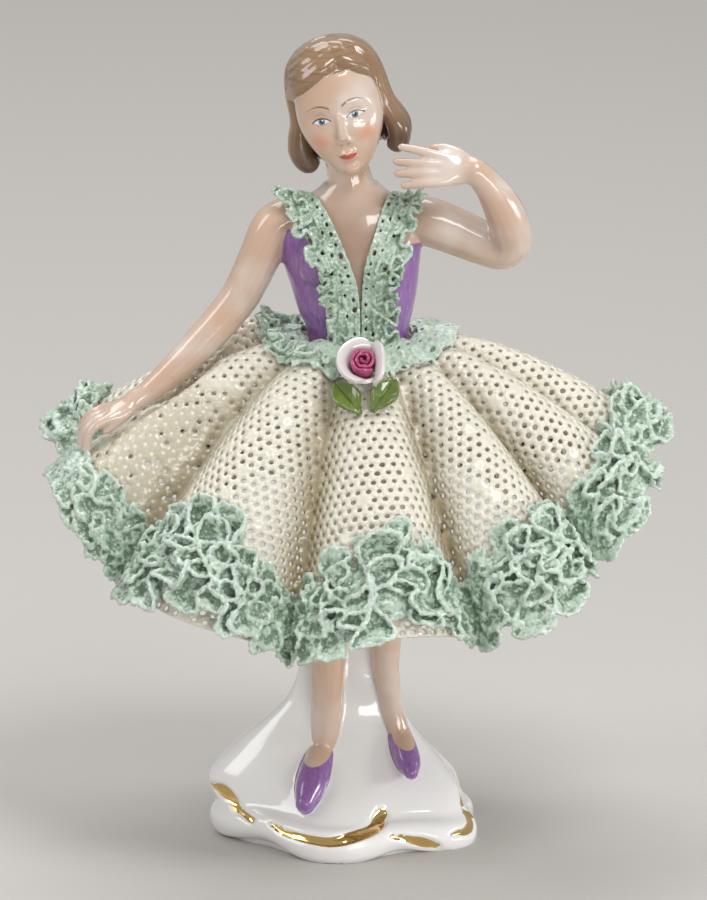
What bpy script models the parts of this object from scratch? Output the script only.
"""A porcelain dancer with a skirt of fired lace, on a scrolled mound.

Sizes are in metres, +Z is up and she faces -Y. The origin is the centre of the mound's flat underside. The
dancer is one casting with the mound, and the lace, the rose and its leaves are laid on the casting with a
small seat clearance.
"""

import math

import bmesh
import bpy
import numpy as np
from mathutils import Matrix, Vector
from mathutils.bvhtree import BVHTree

# Driving sizes

FIGURE_HEIGHT = 0.119  # the top of the hair above the underside
DRAWN_HEIGHT = 119.0  # the height that the pose below is drawn at, in drawing units
UNIT = FIGURE_HEIGHT / DRAWN_HEIGHT  # one drawing unit, in metres

BASE_LEFT = 0.0205  # the mound's reach from the middle, to -X
BASE_RIGHT = 0.0203
BASE_FRONT = 0.0179
BASE_BACK = 0.0165
RIM_ROLL = 0.0025  # radius of the rolled rim

SEAT_GAP = 0.00035  # clearance between the casting and what is laid on it
LACE_WALL = 0.0009  # thickness of the slip-soaked net
FRILL_WALL = 0.0009  # least thickness of the green lace

SKIRT_HALF_WIDTH = 0.0418  # hem of the net, to either side of its middle
SKIRT_FRONT = 0.0345  # hem of the net in front of the waist
SKIRT_BACK = 0.0330  # hem of the net behind the waist
HEM_FRONT_HEIGHT = 0.0380  # hem above the underside, in front
HEM_SIDE_HEIGHT = 0.0560  # hem above the underside, at the sides
HEM_BACK_HEIGHT = 0.0440  # hem above the underside, at the back
HEM_SIDE_LEAN = 0.0010  # how far the hem is higher on her left and lower on her right
HEM_TOSS = 0.0045  # how far the hem is tossed up behind her right hand
FOLD_DEPTH = 0.0038  # half the depth of a fold at the hem
FOLD_CRESTS = (-166, -125, -82, -48, -21, 8, 40, 72, 103, 133, 163)  # degrees round the skirt, 0 is +X
HEM_FULLNESS = (0.6, 1.0, 1.0, 0.9, 0.75, 0.6, 0.6, 0.8, 0.8, 0.7, 0.6)  # how the ruffle bunches on each

HEM_RUFFLE_RISE = 0.0095  # how far up the skirt the hem ruffle starts
HEM_RUFFLE_DEPTH = 0.0046  # how far the hem ruffle stands off the skirt
HEM_SPARE = 0.00076  # what the hem ruffle rides higher, over the curve of the folds
WAIST_RUFFLE_REACH = 0.0046  # how far the waist ruffle lies out over the skirt
WAIST_RUFFLE_DEPTH = 0.0015
WAIST_WAVES = 13  # waves of the waist ruffle's edge
WAIST_SPARE = 0.0004  # what the waist ruffle rides higher, over the curve of the folds
NECK_RUFFLE_WIDTH = 0.0044
NECK_RUFFLE_DEPTH = 0.0016
NECK_WAVES = 5  # waves of a neckline ruffle's edge
NECK_SPARE = 0.00028  # what a neckline ruffle rides higher, over the curve of the bodice

ROSE_RADIUS = 0.0037
ROSE_DEPTH = 0.0030
LEAF_LENGTH = 0.0060
LEAF_WIDTH = 0.0036
LEAF_WALL = 0.0009
LEAF_SPARE = 0.0010  # what a flat leaf rides higher, over the curve of the skirt
ROSE_PLACE = (-86.5, 0.165)  # degrees round the skirt, then the share of the way down it
LEAF_RIGHT_PLACE = (-93.0, 0.275, 40.0)  # the same, then the turn of the leaf in degrees
LEAF_LEFT_PLACE = (-79.5, 0.28, -38.0)

CAST_GRAIN = 0.00040  # grid that the casting's parts are fused on
CAST_TRIANGLES = 3300  # the casting's share of the faces
CUT_MERGE = 0.0001  # corners nearer than this are joined along the cut underside

# Colours of the finishes, red green blue

SKIN_COLOUR = (0.90, 0.76, 0.68)
NET_COLOUR = (0.90, 0.87, 0.78)
GREEN_LACE_COLOUR = (0.56, 0.72, 0.63)
PETAL_COLOUR = (0.92, 0.88, 0.88)
LEAF_COLOUR = (0.27, 0.40, 0.08)

# The pose, in drawing units of a figure 119 high: each point is (x, y, z, radius)

WAIST = (1.6, 0.0, 75.0)
WAIST_HALF_WIDTH = 7.4
WAIST_HALF_DEPTH = 5.7
HEAD_MIDDLE = (-1.2, -0.4, 109.0)
HEAD_SHARE = 0.88  # size of the head against the drawing of it below
HEAD_ROLL = 14.5  # degrees, the crown leans to -X
HEAD_NOD = 5.0  # degrees, the chin tucks in
HEAD_TURN = -3.0  # degrees

TORSO = (  # height, middle x, middle y, half width, half depth
    (58.0, 1.6, 0.2, 7.4, 6.2),
    (63.0, 1.7, 0.2, 8.4, 6.7),
    (67.5, 1.7, 0.1, 8.3, 6.5),
    (72.0, 1.6, 0.0, 7.5, 5.7),
    (75.5, 1.5, 0.0, 7.3, 5.3),
    (79.0, 1.1, -0.1, 8.4, 5.6),
    (82.5, 0.9, -0.2, 9.2, 5.9),
    (86.0, 0.5, -0.3, 9.9, 6.3),
    (89.0, 0.4, -0.1, 10.3, 6.1),
    (91.8, 0.4, 0.2, 10.2, 5.2),
    (94.2, 0.4, 0.5, 8.8, 4.2),
    (96.0, 0.5, 0.6, 5.6, 3.7),
    (97.6, 0.5, 0.6, 3.9, 3.4),
)
BUST = ((-3.6, -4.0, 86.6, 3.6), (4.9, -4.0, 86.6, 3.6))
NECK = ((0.9, 0.9, 93.0, 4.0), (0.5, 0.5, 97.0, 3.35), (-0.3, 0.5, 101.0, 3.1), (-0.8, 0.9, 105.0, 3.2))

RIGHT_ARM = (
    (-7.6, 0.6, 92.8, 3.0),
    (-10.6, 0.3, 91.0, 3.3),
    (-12.8, -0.2, 86.5, 3.1),
    (-15.2, -0.6, 81.6, 2.9),
    (-17.6, -1.0, 78.3, 2.75),
    (-21.4, -2.0, 74.2, 2.55),
    (-25.6, -3.2, 70.2, 2.15),
    (-29.0, -4.2, 67.4, 1.75),
    (-30.8, -4.7, 66.4, 1.7),
)
LEFT_ARM = (
    (7.6, 0.6, 92.4, 3.1),
    (11.4, 0.4, 91.8, 3.6),
    (15.6, 0.2, 90.3, 3.5),
    (19.6, -0.4, 88.7, 3.25),
    (22.4, -1.2, 88.1, 3.15),
    (23.6, -2.4, 89.6, 3.1),
    (23.2, -3.8, 92.4, 3.05),
    (21.8, -5.2, 96.0, 2.7),
    (20.0, -6.2, 98.9, 2.25),
    (18.2, -6.9, 101.0, 2.0),
)
RIGHT_LEG = (
    (0.2, 0.4, 62.0, 5.0),
    (-1.6, -1.4, 50.0, 4.2),
    (-2.7, -2.6, 38.0, 3.2),
    (-2.9, -2.6, 31.0, 3.0),
    (-3.0, -2.9, 25.0, 2.6),
    (-3.1, -3.3, 18.5, 2.15),
    (-3.4, -3.8, 14.0, 2.0),
)
LEFT_LEG = (
    (3.6, 0.4, 62.0, 5.0),
    (4.8, -1.2, 50.0, 4.0),
    (5.3, -2.0, 38.0, 2.9),
    (5.5, -2.0, 31.0, 2.4),
    (5.6, -2.2, 25.0, 1.95),
    (6.6, -2.6, 19.0, 1.65),
    (7.4, -3.0, 16.0, 1.6),
)
RIGHT_FOOT = (
    (-3.4, -3.0, 13.6, 2.1),
    (-4.6, -6.2, 11.5, 2.3),
    (-5.6, -9.4, 9.2, 2.2),
    (-6.3, -11.8, 7.6, 1.4),
)
LEFT_FOOT = (
    (7.4, -2.4, 15.6, 1.75),
    (8.2, -4.8, 13.8, 1.95),
    (8.9, -7.0, 12.2, 1.8),
    (9.2, -8.4, 11.3, 1.1),
)

MOUND = (  # height, then its reach to -X, +X, -Y and +Y
    (-2.0, 16.4, 17.4, 14.4, 13.8),
    (1.5, 16.6, 17.4, 14.2, 14.0),
    (4.2, 17.4, 17.0, 13.2, 13.7),
    (6.2, 18.9, 16.8, 11.5, 13.4),
    (8.4, 20.0, 16.1, 9.6, 12.6),
    (11.0, 18.8, 13.8, 7.5, 11.0),
    (14.0, 15.8, 10.8, 5.4, 9.2),
    (17.0, 12.2, 8.7, 3.7, 7.8),
    (20.0, 9.2, 7.8, 3.0, 7.0),
    (24.0, 7.4, 7.6, 1.8, 6.4),
    (30.0, 6.5, 7.4, 1.0, 6.0),
    (44.0, 6.0, 7.0, 1.2, 5.8),
    (60.0, 5.8, 6.6, 3.0, 5.4),
)
RIM_CRESTS = (-178, -97, -24, 28, 78, 130)  # degrees, where the rim's lobes swing out
RIM_LOBE = 1.3  # how far a lobe swings out
RIM_LEVEL_LEFT = 3.0  # height of the rolled rim's middle, to -X
RIM_LEVEL_RIGHT = 1.9

UNDER_ARM = (  # x, then the middle y, the underside and the half width of the arm and the hand there
    (-42.0, -7.2, 57.0, 4.0),
    (-38.5, -6.5, 60.6, 4.0),
    (-34.5, -5.5, 63.1, 3.4),
    (-30.0, -4.5, 65.0, 2.2),
    (-25.6, -3.2, 67.4, 2.4),
    (-21.4, -2.0, 71.0, 2.7),
    (-17.6, -1.0, 75.2, 2.9),
)

SKULL = ((0.0, 1.6, 2.4), (6.7, 7.6, 7.2))
FACE_RINGS = (  # height above the eye line, half width, front, back
    (7.0, 4.8, -5.4, 3.0),
    (3.6, 6.6, -6.5, 3.0),
    (0.0, 7.1, -6.8, 3.0),
    (-3.0, 6.7, -6.9, 2.4),
    (-5.6, 5.6, -6.9, 1.6),
    (-7.8, 4.2, -6.8, 0.4),
    (-9.6, 2.5, -6.5, -1.6),
    (-10.3, 1.1, -5.8, -3.0),
)
NOSE = ((0.0, -6.6, 0.4, 0.5), (0.0, -7.5, -1.8, 0.65), (0.0, -7.9, -3.3, 0.85))
LIPS = ((-1.3, -6.5, -6.2, 0.45), (0.0, -7.05, -6.1, 0.75), (1.3, -6.5, -6.2, 0.45))
CHIN = (0.0, -5.7, -8.8, 1.6)
CHEEKS = ((-3.8, -4.5, -3.0, 2.6), (3.8, -4.5, -3.0, 2.6))

HAIR_CAP = ((0.0, 2.3, 3.4), (7.5, 8.2, 7.5))
HAIR_LOCKS = 13  # locks that hang round the sides and the back
LOCK_SWEEP = 101.0  # degrees from the back that the locks reach to either side
HAIR_BOTTOM = -8.6
HAIR_PARTING = 16.0  # degrees towards +X from the front, where the hair is parted

NECK_BAND_RIGHT = (  # the middle of the band: x, height, and how far it faces up and out over the shoulder
    (-0.8, 77.9, 0.0),
    (-0.9, 81.6, 0.0),
    (-1.7, 86.0, 0.0),
    (-3.6, 90.0, 0.25),
    (-5.8, 93.2, 0.6),
    (-8.0, 95.0, 1.0),
)
NECK_BAND_LEFT = (
    (4.6, 77.9, 0.0),
    (4.5, 81.6, 0.0),
    (4.7, 86.0, 0.0),
    (5.8, 90.0, 0.25),
    (7.0, 93.2, 0.6),
    (8.4, 94.8, 1.0),
)


def at(point):
    """A drawing point in metres."""
    return Vector(point[:3]) * UNIT


def clear_scene():
    for obj in list(bpy.data.objects):
        bpy.data.objects.remove(obj, do_unlink=True)


def collection(name):
    made = bpy.data.collections.new(name)
    bpy.context.scene.collection.children.link(made)
    return made


def finish(name, colour, roughness, metallic=0.0):
    """A glazed or bisque finish."""
    material = bpy.data.materials.new(name)
    material.use_nodes = True
    shader = material.node_tree.nodes["Principled BSDF"]
    shader.inputs["Base Color"].default_value = (*colour, 1.0)
    shader.inputs["Roughness"].default_value = roughness
    shader.inputs["Metallic"].default_value = metallic
    return material


def add_object(name, mesh, material, where):
    obj = bpy.data.objects.new(name, mesh)
    obj.data.materials.append(material)
    obj.data.shade_smooth()
    where.objects.link(obj)
    return obj


# Shaping helpers


def smooth_step(low, high, value):
    share = min(1.0, max(0.0, (value - low) / (high - low)))
    return share * share * (3.0 - 2.0 * share)


def blend_rows(rows, level):
    """The row at a level, eased between the rows that hold it. The first number of a row is its level."""
    rows = sorted(rows)
    level = min(max(level, rows[0][0]), rows[-1][0])
    index = 0
    while index < len(rows) - 2 and rows[index + 1][0] < level:
        index += 1
    before, low, high, after = (rows[min(max(k, 0), len(rows) - 1)] for k in range(index - 1, index + 3))
    span = high[0] - low[0]
    share = (level - low[0]) / span
    reach_low = span / (high[0] - before[0])
    reach_high = span / (after[0] - low[0])
    out = []
    for a, b, c, d in zip(before, low, high, after):
        slope_low = (c - a) * reach_low
        slope_high = (d - b) * reach_high
        out.append(
            b
            + share * slope_low
            + share**2 * (3 * (c - b) - 2 * slope_low - slope_high)
            + share**3 * (2 * (b - c) + slope_low + slope_high)
        )
    return out


def grid_mesh(name, columns, rows, place, closed_across=False):
    """A grid with each vertex put where place(across, along) says, both from 0 to 1.

    With closed_across it is a tube, and its open ends are capped.
    """
    mesh_builder = bmesh.new()
    bmesh.ops.create_grid(mesh_builder, x_segments=columns, y_segments=rows, size=0.5)
    for vertex in mesh_builder.verts:
        vertex.co = place(vertex.co.x + 0.5, vertex.co.y + 0.5)
    if closed_across:
        bmesh.ops.remove_doubles(mesh_builder, verts=mesh_builder.verts, dist=1e-7)
        edges = [edge for edge in mesh_builder.edges if edge.is_boundary]
        bmesh.ops.holes_fill(mesh_builder, edges=edges, sides=0)
        bmesh.ops.recalc_face_normals(mesh_builder, faces=mesh_builder.faces)
    mesh = bpy.data.meshes.new(name)
    mesh_builder.to_mesh(mesh)
    mesh_builder.free()
    return mesh


def tubes_mesh(name, runs, resolution=3):
    """Closed round tubes along runs of (x, y, z, radius), as one mesh."""
    curve = bpy.data.curves.new(name, "CURVE")
    curve.dimensions = "3D"
    curve.bevel_depth = 1.0
    curve.bevel_resolution = resolution
    curve.use_fill_caps = True
    for run in runs:
        spline = curve.splines.new("POLY")
        steps = (len(run) - 1) * 4
        spline.points.add(steps)
        for step in range(steps + 1):
            x, y, z, radius = run_point(run, step / steps)
            spline.points[step].co = (x * UNIT, y * UNIT, z * UNIT, 1.0)
            spline.points[step].radius = radius * UNIT
    holder = bpy.data.objects.new(name, curve)
    bpy.context.scene.collection.objects.link(holder)
    graph = bpy.context.evaluated_depsgraph_get()
    mesh = bpy.data.meshes.new_from_object(holder.evaluated_get(graph))
    bpy.data.objects.remove(holder)
    bpy.data.curves.remove(curve)
    return mesh


def run_point(run, share):
    """The point and radius at a share of a run, on a smooth curve through its points."""
    rows = [(index / (len(run) - 1), *point) for index, point in enumerate(run)]
    return blend_rows(rows, share)[1:]


def add_balls(builder, balls, place=Matrix()):
    """Round ends and swellings: each ball is ((x, y, z), (radius x, radius y, radius z))."""
    for middle, radii in balls:
        size = Matrix.Diagonal((*(Vector(radii) * UNIT), 1.0))
        matrix = place @ Matrix.Translation(at(middle)) @ size
        bmesh.ops.create_uvsphere(builder, u_segments=20, v_segments=12, radius=1.0, matrix=matrix)


# The head, in its own axes: the eye line is at height 0 and she looks along -Y


def head_place():
    turn = Matrix.Rotation(math.radians(HEAD_TURN), 4, "Z")
    roll = Matrix.Rotation(math.radians(-HEAD_ROLL), 4, "Y")
    nod = Matrix.Rotation(math.radians(HEAD_NOD), 4, "X")
    return Matrix.Translation(at(HEAD_MIDDLE)) @ roll @ turn @ nod @ Matrix.Scale(HEAD_SHARE, 4)


def face_point(across, along):
    """The front wedge of the head, from brow to chin."""
    level = FACE_RINGS[-1][0] + (FACE_RINGS[0][0] - FACE_RINGS[-1][0]) * along
    _, half, front, back = blend_rows(FACE_RINGS, level)
    angle = 2 * math.pi * across
    middle = (front + back) / 2
    return Vector((half * math.sin(angle), middle - (back - front) / 2 * math.cos(angle), level)) * UNIT


def cap_point(azimuth, elevation, puff=1.0):
    """A point on the hair cap, in degrees: azimuth from the back towards +X, then elevation."""
    middle, radii = HAIR_CAP
    a, e = math.radians(azimuth), math.radians(elevation)
    return (
        middle[0] + radii[0] * puff * math.cos(e) * math.sin(a),
        middle[1] + radii[1] * puff * math.cos(e) * math.cos(a),
        middle[2] + radii[2] * puff * math.sin(e),
    )


def hanging_lock(azimuth):
    """A lock from the crown down over the cap, rolled under at its end like a page's bob."""
    run = []
    for elevation, radius in ((72, 0.9), (50, 1.3), (28, 1.45), (4, 1.4)):
        run.append((*cap_point(azimuth, elevation, 0.94), radius))
    top = run[-1]
    a = math.radians(azimuth)
    for drop, flare, radius in ((0.42, 0.4, 1.5), (0.78, 1.5, 1.95), (1.0, 0.7, 1.75), (0.95, -0.9, 1.0)):
        level = top[2] + (HAIR_BOTTOM - top[2]) * drop
        run.append((top[0] + math.sin(a) * flare, top[1] + math.cos(a) * flare, level, radius))
    return run


def swept_lock(start, end, radius):
    """A lock combed from the parting round the brow; start and end are (azimuth, elevation)."""
    run = []
    for share, swell in ((0.0, 0.7), (0.3, 1.0), (0.65, 1.05), (1.0, 0.8)):
        azimuth = start[0] + (end[0] - start[0]) * share
        elevation = start[1] + (end[1] - start[1]) * share**1.2
        run.append((*cap_point(azimuth, elevation, 1.02), radius * swell))
    return run


def hair_runs():
    runs = []
    for index in range(HAIR_LOCKS):
        runs.append(hanging_lock(LOCK_SWEEP * (2 * index / (HAIR_LOCKS - 1) - 1)))
    front = 180.0 - HAIR_PARTING
    for lift in range(4):
        runs.append(swept_lock((front, 74 - 9 * lift), (250.0, 46 - 14 * lift), 1.35))
    for lift in range(3):
        runs.append(swept_lock((front, 72 - 10 * lift), (122.0, 46 - 15 * lift), 1.25))
    return runs


def add_head(builder):
    place = head_place()
    face = grid_mesh("face", 24, 10, face_point, closed_across=True)
    hair = tubes_mesh("hair", hair_runs(), 2)
    features = tubes_mesh("features", (NOSE, LIPS), 2)
    for mesh in (face, hair, features):
        mesh.transform(place)
        builder.from_mesh(mesh)
    cheeks = [(cheek[:3], (cheek[3],) * 3) for cheek in CHEEKS]
    chin = (CHIN[:3], (CHIN[3],) * 3)
    add_balls(builder, [SKULL, HAIR_CAP, chin, *cheeks], place)


# Hands: a hand's own axes run from the wrist to the fingers along +X, and the thumb is on its +Y side


def hand_runs(spread, curl, thumb_out):
    """Four fingers and a thumb. Spread opens them, curl bends them, and thumb_out parts the thumb."""
    runs = []
    for index, length in enumerate((6.0, 6.6, 6.3, 5.2)):
        side = 1.9 - 1.27 * index
        open_angle = math.radians(spread * (1.5 - index))
        run = [(3.4, side * 0.85, 0.1, 0.95)]
        x, y, z, bend = 5.0, side, 0.15, 0.0
        for joint in range(4):
            run.append((x, y, z, 0.88 - 0.1 * joint))
            step = length / 3.4
            x += step * math.cos(bend) * math.cos(open_angle)
            y += step * math.sin(open_angle)
            z -= step * math.sin(bend)
            bend += math.radians(curl)
        runs.append(run)
    thumb = [(0.8, 0.0, -0.1, 1.1), (2.4, 1.2, -0.5, 1.05), (4.2, 1.9, -0.9, 0.85), (5.8, 2.0, -1.3, 0.6)]
    return [*runs, [(x, 1.2 + thumb_out * out, z, radius) for x, out, z, radius in thumb]]


def frame_at(origin, fingers, back_of_hand):
    """Axes at the wrist: fingers point along +X, and the back of the hand faces +Z."""
    forward = Vector(fingers).normalized()
    up = Vector(back_of_hand)
    up = (up - forward * up.dot(forward)).normalized()
    side = up.cross(forward)
    return Matrix.Translation(at(origin)) @ Matrix((forward, side, up)).transposed().to_4x4()


def add_hand(builder, place, spread, curl, thumb_out, mirrored=False):
    flip = Matrix.Diagonal((1, -1 if mirrored else 1, 1, 1))
    fingers = tubes_mesh("fingers", hand_runs(spread, curl, thumb_out), 2)
    fingers.transform(place @ flip)
    if mirrored:
        fingers.flip_normals()
    builder.from_mesh(fingers)
    add_balls(builder, [((2.8, 0.1, 0.0), (3.2, 2.3, 1.15)), ((0.5, 0.0, 0.0), (2.0, 1.7, 1.3))], place)


# The casting


def torso_point(across, along):
    level = TORSO[0][0] + (TORSO[-1][0] - TORSO[0][0]) * along
    _, x, y, half_width, half_depth = blend_rows(TORSO, level)
    angle = 2 * math.pi * across
    return Vector((x + half_width * math.cos(angle), y + half_depth * math.sin(angle), level)) * UNIT


def quarter_reach(row, angle):
    """How far a level reaches out at an angle, from its reaches left, right, front and back."""
    left, right, front, back = row
    cosine, sine = math.cos(angle), math.sin(angle)
    return Vector(((right if cosine > 0 else left) * cosine, (back if sine > 0 else front) * sine))


def lobe_swing(angle):
    """How far the mound's rim swings out at an angle round it, from -1 to 1."""
    return math.cos(phase_between(RIM_CRESTS, math.degrees(angle)))


def mound_point(across, along):
    level = MOUND[0][0] + (MOUND[-1][0] - MOUND[0][0]) * along**1.6
    angle = 2 * math.pi * across
    out = quarter_reach(blend_rows(MOUND, level)[1:], angle)
    out += out.normalized() * RIM_LOBE * lobe_swing(angle) * (1 - smooth_step(4, 13, level))
    return Vector((out.x, out.y, level)) * UNIT


def rim_run():
    """The rolled rim, a closed scroll round the mound's foot."""
    run = []
    steps = 60
    level_middle = (RIM_LEVEL_LEFT + RIM_LEVEL_RIGHT) / 2
    level_lean = (RIM_LEVEL_LEFT - RIM_LEVEL_RIGHT) / 2
    for step in range(steps + 1):
        angle = 2 * math.pi * step / steps
        swing = lobe_swing(angle)
        out = quarter_reach((BASE_LEFT, BASE_RIGHT, BASE_FRONT, BASE_BACK), angle) / UNIT
        roll = RIM_ROLL / UNIT * (1 + 0.12 * swing)
        out -= out.normalized() * (roll + RIM_LOBE * (1 - swing))
        level = level_middle - level_lean * math.cos(angle)
        run.append((out.x, out.y, level - 0.5 * swing, roll))
    return run


def keep_outer_skin(builder):
    """Removes sealed pockets, so that one closed skin is left."""
    left = set(builder.verts)
    islands = []
    while left:
        found = {left.pop()}
        edge_of_search = list(found)
        while edge_of_search:
            vertex = edge_of_search.pop()
            for edge in vertex.link_edges:
                other = edge.other_vert(vertex)
                if other in left:
                    left.discard(other)
                    found.add(other)
                    edge_of_search.append(other)
        islands.append(found)
    islands.sort(key=len)
    for island in islands[:-1]:
        bmesh.ops.delete(builder, geom=list(island), context="VERTS")


def cut_flat_underside(builder):
    """Cuts the casting flat at height 0 and closes it there."""
    geometry = builder.verts[:] + builder.edges[:] + builder.faces[:]
    bmesh.ops.bisect_plane(builder, geom=geometry, plane_co=(0, 0, 0), plane_no=(0, 0, 1), clear_inner=True)
    on_cut = [vertex for vertex in builder.verts if abs(vertex.co.z) < 1e-7]
    bmesh.ops.remove_doubles(builder, verts=on_cut, dist=CUT_MERGE)
    edges = [edge for edge in builder.edges if edge.is_boundary]
    bmesh.ops.holes_fill(builder, edges=edges, sides=0)
    bmesh.ops.triangulate(builder, faces=builder.faces[:])
    bmesh.ops.recalc_face_normals(builder, faces=builder.faces)


def apply_modifiers(obj):
    graph = bpy.context.evaluated_depsgraph_get()
    mesh = bpy.data.meshes.new_from_object(obj.evaluated_get(graph))
    obj.modifiers.clear()
    obj.data = mesh


def dancer_on_base(where, material):
    builder = bmesh.new()
    body = grid_mesh("torso", 28, 20, torso_point, closed_across=True)
    mound = grid_mesh("mound", 72, 34, mound_point, closed_across=True)
    runs = (NECK, RIGHT_ARM, LEFT_ARM, RIGHT_LEG, LEFT_LEG, RIGHT_FOOT, LEFT_FOOT)
    limbs = tubes_mesh("limbs", runs, 4)
    rim = tubes_mesh("rim", (rim_run(),), 3)
    for mesh in (body, mound, limbs, rim):
        builder.from_mesh(mesh)
    ends = [run[k] for run in runs for k in (0, -1)]
    rounds = [(end[:3], (end[3],) * 3) for end in (*ends, *BUST)]
    add_balls(builder, rounds)
    add_head(builder)
    lowered = frame_at(RIGHT_ARM[-1], (-0.88, -0.22, -0.40), (-0.35, -0.25, 0.90))
    add_hand(builder, lowered, 1.0, 30.0, 0.35)
    raised = frame_at(LEFT_ARM[-1], (-0.985, -0.05, 0.06), (0.05, -0.93, 0.35))
    add_hand(builder, raised, 7.0, 7.0, 1.0, mirrored=True)
    mesh = bpy.data.meshes.new("dancer")
    builder.to_mesh(mesh)
    builder.free()
    obj = add_object("dancer_on_base", mesh, material, where)
    fuse = obj.modifiers.new("fuse", "REMESH")
    fuse.mode = "VOXEL"
    fuse.voxel_size = CAST_GRAIN
    glaze = obj.modifiers.new("glaze", "SMOOTH")
    glaze.factor = 0.5
    glaze.iterations = 3
    apply_modifiers(obj)
    thin = obj.modifiers.new("thin", "DECIMATE")
    thin.ratio = CAST_TRIANGLES / (2 * len(obj.data.polygons))
    apply_modifiers(obj)
    builder = bmesh.new()
    builder.from_mesh(obj.data)
    cut_flat_underside(builder)
    keep_outer_skin(builder)
    builder.to_mesh(obj.data)
    builder.free()
    obj.data.shade_smooth()
    return obj


def surface_tree(obj):
    """The object's surface, for finding where a ray meets it."""
    builder = bmesh.new()
    builder.from_mesh(obj.data)
    tree = BVHTree.FromBMesh(builder)
    builder.free()
    return tree


# The skirt


def phase_between(crests, angle):
    """Where an angle in degrees lies between crests: 0 at a crest, pi halfway to the next."""
    ring = list(crests) + [crests[0] + 360]
    angle = (angle - ring[0]) % 360 + ring[0]
    for index in range(len(ring) - 1):
        if angle <= ring[index + 1]:
            return 2 * math.pi * (angle - ring[index]) / (ring[index + 1] - ring[index])
    return 0.0


def hem_height(sine, cosine):
    middle = (HEM_FRONT_HEIGHT + HEM_BACK_HEIGHT) / 2
    lean = (HEM_BACK_HEIGHT - HEM_FRONT_HEIGHT) / 2
    corner = (cosine * cosine) ** 2.2
    toss = HEM_TOSS * math.exp(-((cosine + 0.78) ** 2 + (sine - 0.62) ** 2) / 0.16)
    return middle + lean * sine + (HEM_SIDE_HEIGHT - middle) * corner + HEM_SIDE_LEAN * cosine + toss


def bell_point(angle, along):
    """The skirt without its folds: along is 0 at the waist and 1 at the hem. Angles are in radians."""
    cosine, sine = math.cos(angle), math.sin(angle)
    waist = at(WAIST)
    seat = SEAT_GAP + LACE_WALL / 2
    reach_x = WAIST_HALF_WIDTH * UNIT + seat
    reach_y = WAIST_HALF_DEPTH * UNIT + seat
    top = Vector((waist.x + reach_x * cosine, waist.y + reach_y * sine, waist.z - 0.6 * UNIT))
    reach = SKIRT_FRONT if sine < 0 else SKIRT_BACK
    hem = Vector((waist.x / 2 + SKIRT_HALF_WIDTH * cosine, reach * sine, hem_height(sine, cosine)))
    roundness = 1.6 + 0.25 * sine
    spread = top.lerp(hem, along)
    return Vector((spread.x, spread.y, top.z - (top.z - hem.z) * max(along, 0.0) ** roundness))


def bell_normal(angle, along):
    step = 0.01
    low = max(along, 2 * step)
    around = bell_point(angle + step, low) - bell_point(angle - step, low)
    down = bell_point(angle, low + step) - bell_point(angle, low - step)
    return down.cross(around).normalized()


def fold_lift(angle, along):
    """How far a fold lifts the net off the bell: broad crests and narrow valleys."""
    phase = phase_between(FOLD_CRESTS, math.degrees(angle))
    wave = 2 * (math.cos(phase / 2) ** 2) ** 0.62 - 1
    return FOLD_DEPTH * wave * (0.10 + 0.90 * max(along, 0.0) ** 0.9)


def under_arm(point, depth):
    """The point pressed down to lie that deep below the arm and the hand that rest on the skirt."""
    x, y = point.x / UNIT, point.y / UNIT
    if x > UNDER_ARM[-1][0]:
        return point
    _, middle, underside, half = blend_rows(UNDER_ARM, x)
    limit = (underside + 1.15 * max(0.0, abs(y - middle) - half)) * UNIT - depth
    return Vector((point.x, point.y, min(point.z, limit)))


def skirt_point(angle, along, lift=0.0, depth=0.0):
    """A point of the net's middle surface, or that far above it along the bell's normal."""
    point = bell_point(angle, along) + bell_normal(angle, along) * (fold_lift(angle, along) + lift)
    return under_arm(point, depth)


NET_DEPTH = 2 * SEAT_GAP + FRILL_WALL + LACE_WALL  # from the arm to the net, with the ruffle between them


def lace_skirt(where, material):
    """The net: one pleated sheet from the waist to the hem, given its wall."""
    rows = 7
    columns = 9 * len(FOLD_CRESTS)

    def place(across, along):
        return skirt_point(2 * math.pi * across, along, 0.0, NET_DEPTH)

    builder = bmesh.new()
    builder.from_mesh(grid_mesh("net", columns, rows, place))
    bmesh.ops.remove_doubles(builder, verts=builder.verts, dist=1e-7)
    mesh = bpy.data.meshes.new("net")
    builder.to_mesh(mesh)
    builder.free()
    obj = add_object("lace_skirt", mesh, material, where)
    wall = obj.modifiers.new("wall", "SOLIDIFY")
    wall.thickness = LACE_WALL
    wall.offset = 0.0
    return obj


# The green lace


def band_mesh(name, columns, section, place):
    """A closed band round the skirt. The section's points are shares of its width and of its depth."""

    def ring(across, along):
        share, depth = section[round(along * len(section)) % len(section)]
        return place(2 * math.pi * across, share, depth)

    return grid_mesh(name, columns, len(section), ring, closed_across=True)


def hem_bunch(angle):
    """How full the hem ruffle is at an angle, from 0 to 1: it bunches on the crests of the folds."""
    degrees = math.degrees(angle)
    nearest = min(range(len(FOLD_CRESTS)), key=lambda k: abs((degrees - FOLD_CRESTS[k] + 180) % 360 - 180))
    phase = phase_between(FOLD_CRESTS, degrees)
    return 0.22 + 0.78 * HEM_FULLNESS[nearest] * (0.5 + 0.5 * math.cos(phase)) ** 0.8


def hand_share(angle):
    """1 where the hand holds the hem down, falling to 0 round about."""
    away = (math.degrees(angle) + 171 + 180) % 360 - 180
    return math.exp(-((away / 11) ** 2))


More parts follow.
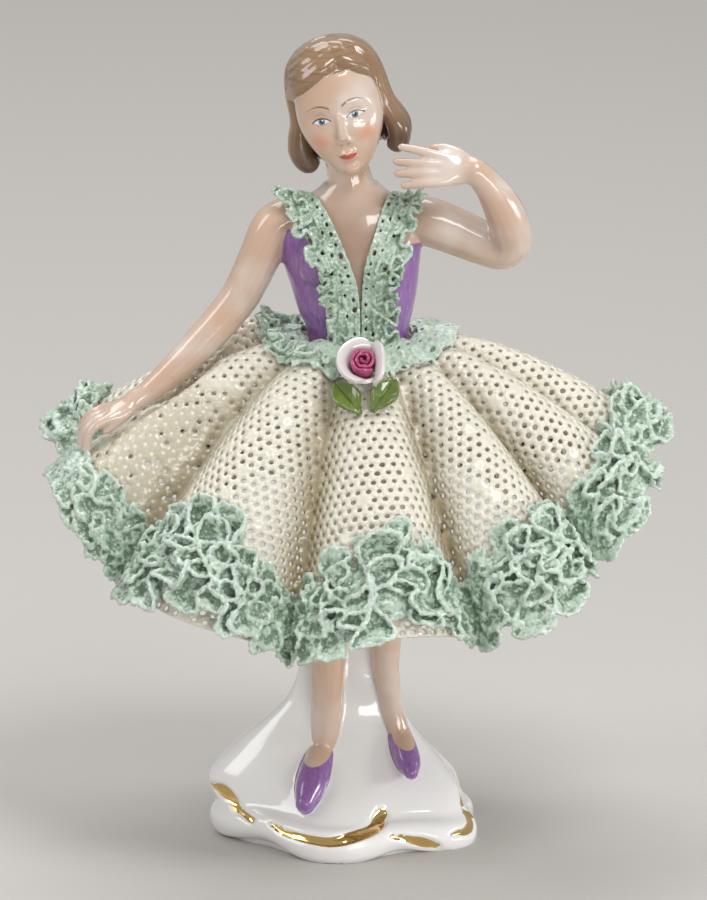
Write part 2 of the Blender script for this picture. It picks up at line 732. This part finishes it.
def hem_ruffle(where, material):
    """The crumpled lace round the hem, as a band whose depth swells where it bunches."""
    seat = LACE_WALL / 2 + SEAT_GAP + HEM_SPARE

    def place(angle, share, depth):
        bunch = hem_bunch(angle)
        held = hand_share(angle)
        rise = HEM_RUFFLE_RISE * (0.75 + 0.45 * bunch) * (1 - 0.45 * held)
        along = 1 - rise / SKIRT_HALF_WIDTH * (1 - share)
        full = (HEM_RUFFLE_DEPTH - FRILL_WALL) * bunch * (1 - held)
        below_arm = SEAT_GAP + (1 - depth) * FRILL_WALL
        return skirt_point(angle, along, seat + depth * (FRILL_WALL + full), below_arm)

    section = ((0.0, 0.0), (0.0, 0.3), (0.34, 0.72), (0.75, 1.0), (1.08, 0.7), (1.12, 0.0), (0.5, 0.0))
    mesh = band_mesh("hem_ruffle", 11 * len(FOLD_CRESTS), section, place)
    return add_object("hem_ruffle", mesh, material, where)


def waist_ruffle(where, material):
    """The lace laid round the waist on the top of the skirt."""
    seat = LACE_WALL / 2 + SEAT_GAP + WAIST_SPARE
    start = 0.012
    reach = WAIST_RUFFLE_REACH / SKIRT_HALF_WIDTH * 1.2

    def place(angle, share, depth):
        wave = math.sin(WAIST_WAVES * angle + 0.8 * math.sin(3 * angle))
        along = start + reach * share * (1 + 0.10 * wave)
        rise = FRILL_WALL + (WAIST_RUFFLE_DEPTH - FRILL_WALL) * (0.5 + 0.5 * wave)
        return skirt_point(angle, along, seat + depth * rise)

    section = ((0.0, 0.0), (0.0, 0.9), (0.55, 1.0), (1.0, 0.8), (1.0, 0.0), (0.5, 0.0))
    mesh = band_mesh("waist_ruffle", 48, section, place)
    return add_object("waist_ruffle", mesh, material, where)


def neck_ruffle(name, band, side, where, material, tree):
    """A lace band laid on the casting from the waist over the shoulder, frilled along that side."""
    columns, rows = 4, 12
    path = [(index / (len(band) - 1), *point) for index, point in enumerate(band)]

    def place(across, along):
        _, x, z, over = blend_rows(path, along)
        _, x_next, z_next, _ = blend_rows(path, min(along + 0.02, 1.0))
        _, x_last, z_last, _ = blend_rows(path, max(along - 0.02, 0.0))
        run = Vector((x_next - x_last, 0.0, z_next - z_last)).normalized()
        outward = Vector((side * 0.35 * over, -1.0 + 0.45 * over, 0.95 * over)).normalized()
        sideways = run.cross(outward).normalized()
        phase = 2 * math.pi * NECK_WAVES * along
        frill = 1 + 0.16 * math.sin(phase) * (across if side > 0 else 1 - across)
        out_across = (across - 0.5) * NECK_RUFFLE_WIDTH * frill
        middle = Vector((x, 0.0, z)) * UNIT
        aim = middle + sideways * out_across
        start = Vector((aim.x, 0.0, aim.z)) + outward * (10 - 5 * over) * UNIT
        hit = tree.ray_cast(start, -outward)
        wave = 0.20 * UNIT * (1 + math.sin(phase + 3 * across))
        facing = max(0.6, outward.dot(hit[1]))
        return hit[0] + outward * ((SEAT_GAP + NECK_SPARE) / facing + wave)

    mesh = grid_mesh(name, columns, rows, place)
    obj = add_object(name, mesh, material, where)
    wall = obj.modifiers.new("wall", "SOLIDIFY")
    wall.thickness = NECK_RUFFLE_DEPTH
    wall.offset = 1.0
    return obj


# The rose and its leaves


def place_on_skirt(angle_degrees, along, turn_degrees, lift):
    """Axes on the skirt: +Z off the skirt, +Y down it, turned about +Z."""
    angle = math.radians(angle_degrees)
    origin = skirt_point(angle, along, lift)
    up = bell_normal(angle, along)
    down = bell_point(angle, along + 0.02) - bell_point(angle, along - 0.01)
    down = (down - up * up.dot(down)).normalized()
    axes = Matrix((down.cross(up), down, up)).transposed().to_4x4()
    return Matrix.Translation(origin) @ axes @ Matrix.Rotation(math.radians(turn_degrees), 4, "Z")


ROSE_PROFILE = (  # share from the middle of the front round to the back: reach, height
    (0.0, 0.0, 0.90),
    (0.16, 0.26, 0.86),
    (0.30, 0.46, 0.60),
    (0.42, 0.56, 0.44),
    (0.58, 0.84, 0.96),
    (0.70, 1.0, 0.88),
    (0.86, 0.74, 0.10),
    (1.0, 0.0, 0.0),
)


def rose(where, material):
    """A bud in a cup of two petals, hand built and set on the ruffle."""

    def place(across, along):
        _, reach, height = blend_rows(ROSE_PROFILE, along)
        angle = 2 * math.pi * across
        petal = 1 + 0.10 * math.cos(2 * angle + 0.6) * reach
        lip = 1 - 0.14 * reach * math.sin(angle + 0.5) ** 2
        out = ROSE_RADIUS * reach * petal
        return Vector((out * math.cos(angle), out * math.sin(angle), ROSE_DEPTH * height * lip))

    mesh = grid_mesh("rose", 20, 7, place, closed_across=True)
    seat = LACE_WALL / 2 + SEAT_GAP + WAIST_SPARE + WAIST_RUFFLE_DEPTH
    mesh.transform(place_on_skirt(*ROSE_PLACE, 0.0, seat))
    return add_object("rose", mesh, material, where)


def leaf(name, spot, where, material):
    """A cupped pointed leaf that lies on the skirt below the rose."""

    def place(across, along_leaf):
        swell = 0.14 + 0.86 * math.sin(math.pi * along_leaf**0.8)
        side = math.cos(2 * math.pi * across)
        face = math.sin(2 * math.pi * across)
        half = LEAF_WIDTH / 2 * swell
        cup = LEAF_WIDTH / 6 * (side * swell) ** 2
        wall = LEAF_WALL / 2 * face * swell**0.5
        return Vector((half * side, LEAF_LENGTH * (along_leaf - 0.5), cup + wall))

    mesh = grid_mesh(name, 10, 6, place, closed_across=True)
    seat = LACE_WALL / 2 + SEAT_GAP + LEAF_WALL / 2 + LEAF_SPARE
    mesh.transform(place_on_skirt(*spot, seat))
    return add_object(name, mesh, material, where)


def main():
    clear_scene()
    where = collection("lace_dancer")
    porcelain = finish("painted_glaze", SKIN_COLOUR, 0.12)
    net = finish("cream_net", NET_COLOUR, 0.35)
    green_lace = finish("green_lace", GREEN_LACE_COLOUR, 0.45)
    petals = finish("petal_glaze", PETAL_COLOUR, 0.15)
    leaves = finish("leaf_glaze", LEAF_COLOUR, 0.15)
    dancer = dancer_on_base(where, porcelain)
    tree = surface_tree(dancer)
    lace_skirt(where, net)
    hem_ruffle(where, green_lace)
    waist_ruffle(where, green_lace)
    neck_ruffle("neckline_ruffle_right", NECK_BAND_RIGHT, -1, where, green_lace, tree)
    neck_ruffle("neckline_ruffle_left", NECK_BAND_LEFT, 1, where, green_lace, tree)
    rose(where, petals)
    leaf("rose_leaf_right", LEAF_RIGHT_PLACE, where, leaves)
    leaf("rose_leaf_left", LEAF_LEFT_PLACE, where, leaves)


main()
